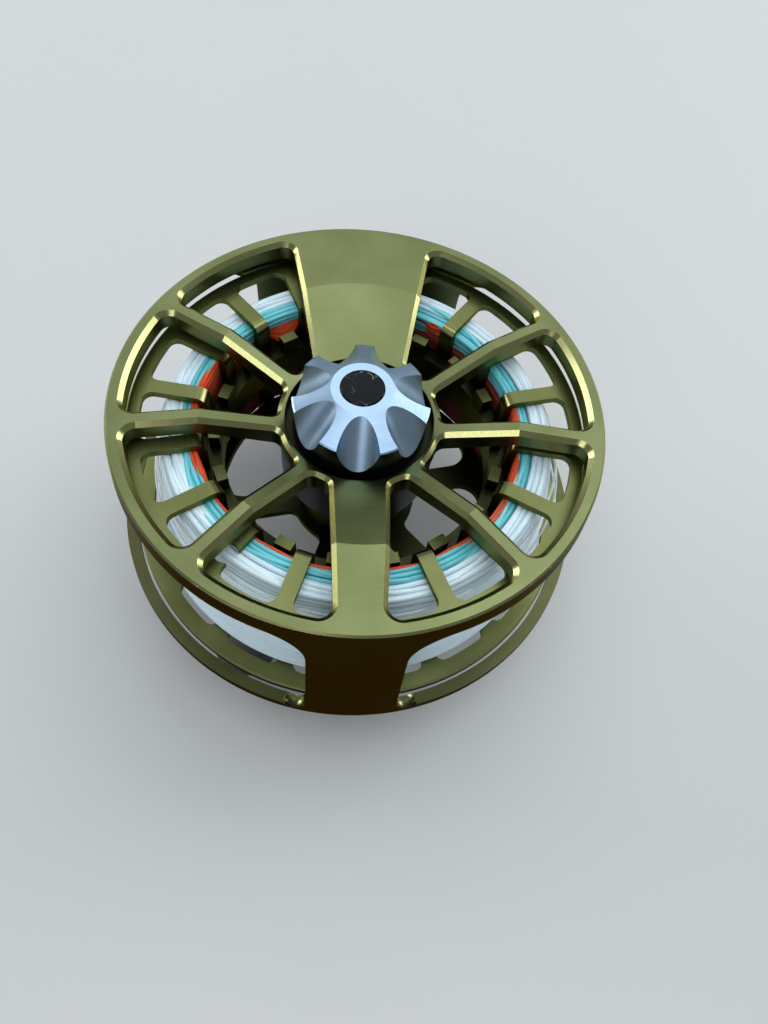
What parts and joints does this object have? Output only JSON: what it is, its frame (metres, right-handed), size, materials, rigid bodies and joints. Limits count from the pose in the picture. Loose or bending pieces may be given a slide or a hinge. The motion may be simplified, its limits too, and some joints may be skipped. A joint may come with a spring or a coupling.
{
  "type": "fly reel",
  "caption": "Large-arbor fly fishing reel: ported cage frame with reel foot, drag knob, ribbed free-turning spool wound with line, and a turning handle.",
  "frame": {"origin": "on the spool axis, on the flat outer face of the back ring", "axes": "+Z along the spool axis towards the drag knob, +Y towards the reel foot, +X along the foot, so right-handed"},
  "size_m": [0.094, 0.099, 0.058],
  "materials": {
    "frame_olive": "anodised, fine turned grain",
    "foot_olive": "anodised, satin",
    "spool_olive": "anodised, fine turned grain",
    "steel": "satin",
    "ball_steel": "polished",
    "black_aluminium": "black anodised, satin",
    "plain_aluminium": "turned, satin",
    "knob_silver": "clear anodised, satin",
    "cap_black": "glossy with fine scratches",
    "bronze": "satin",
    "drag_composite": "matte",
    "seal_rubber": "matte",
    "handle_black": "satin",
    "backing_orange": "braided, matte",
    "running_turquoise": "satin coating",
    "head_white": "satin coating",
    "leader_clear": "clear, glossy"
  },
  "bodies": {
    "frame": {"cage_frame": "frame_olive", "reel_foot": "foot_olive", "foot_screws": "steel", "spindle": "steel", "spindle_screw": "steel", "drag_housing": "black_aluminium", "housing_seal": "seal_rubber", "housing_screws": "steel", "knob_screw": "steel", "click_ball": "ball_steel", "click_spring": "steel"},
    "drag_pressure": {"push_pins": "steel", "thrust_washer": "bronze", "drag_springs": "steel", "drag_cone": "drag_composite"},
    "rotor": {"drag_rotor": "plain_aluminium", "rotor_bearings": "steel", "bearing_spacer": "plain_aluminium", "retainer_ring": "steel"},
    "spool_unit": {"spool": "spool_olive", "spool_bushings": "bronze", "clutch_shell": "steel", "clutch_rollers": "steel", "spool_cap": "spool_olive", "backing_line": "backing_orange", "running_line": "running_turquoise", "head_line": "head_white", "leader": "leader_clear", "handle_screw": "steel", "handle_washer": "drag_composite"},
    "handle": {"handle_grip": "handle_black"},
    "knob": {"drag_knob": "knob_silver", "knob_cap": "cap_black", "adjuster_nut": "bronze"}
  },
  "joints": [
    {"name": "drag_knob_turn", "type": "hinge", "parent": "frame", "child": "knob", "pos_m": [0, 0, 0], "axis": [0, 0, 1], "range_deg": [0, 340]},
    {"name": "drag_cone_slide", "type": "slide", "parent": "frame", "child": "drag_pressure", "axis": [0, 0, -1], "range_m": [0, 0.0004]},
    {"name": "rotor_turn", "type": "hinge", "parent": "frame", "child": "rotor", "pos_m": [0, 0, 0], "axis": [0, 0, 1], "continuous": true},
    {"name": "spool_spin", "type": "hinge", "parent": "rotor", "child": "spool_unit", "pos_m": [0, 0, 0], "axis": [0, 0, 1], "continuous": true},
    {"name": "handle_spin", "type": "hinge", "parent": "spool_unit", "child": "handle", "pos_m": [-0.02179, -0.0279, -0.0435], "axis": [0, 0, 1], "continuous": true}
  ],
  "couplings": [
    {"joint": "drag_cone_slide", "follows": "drag_knob_turn", "m_per_rad": 0.0000674}
  ]
}
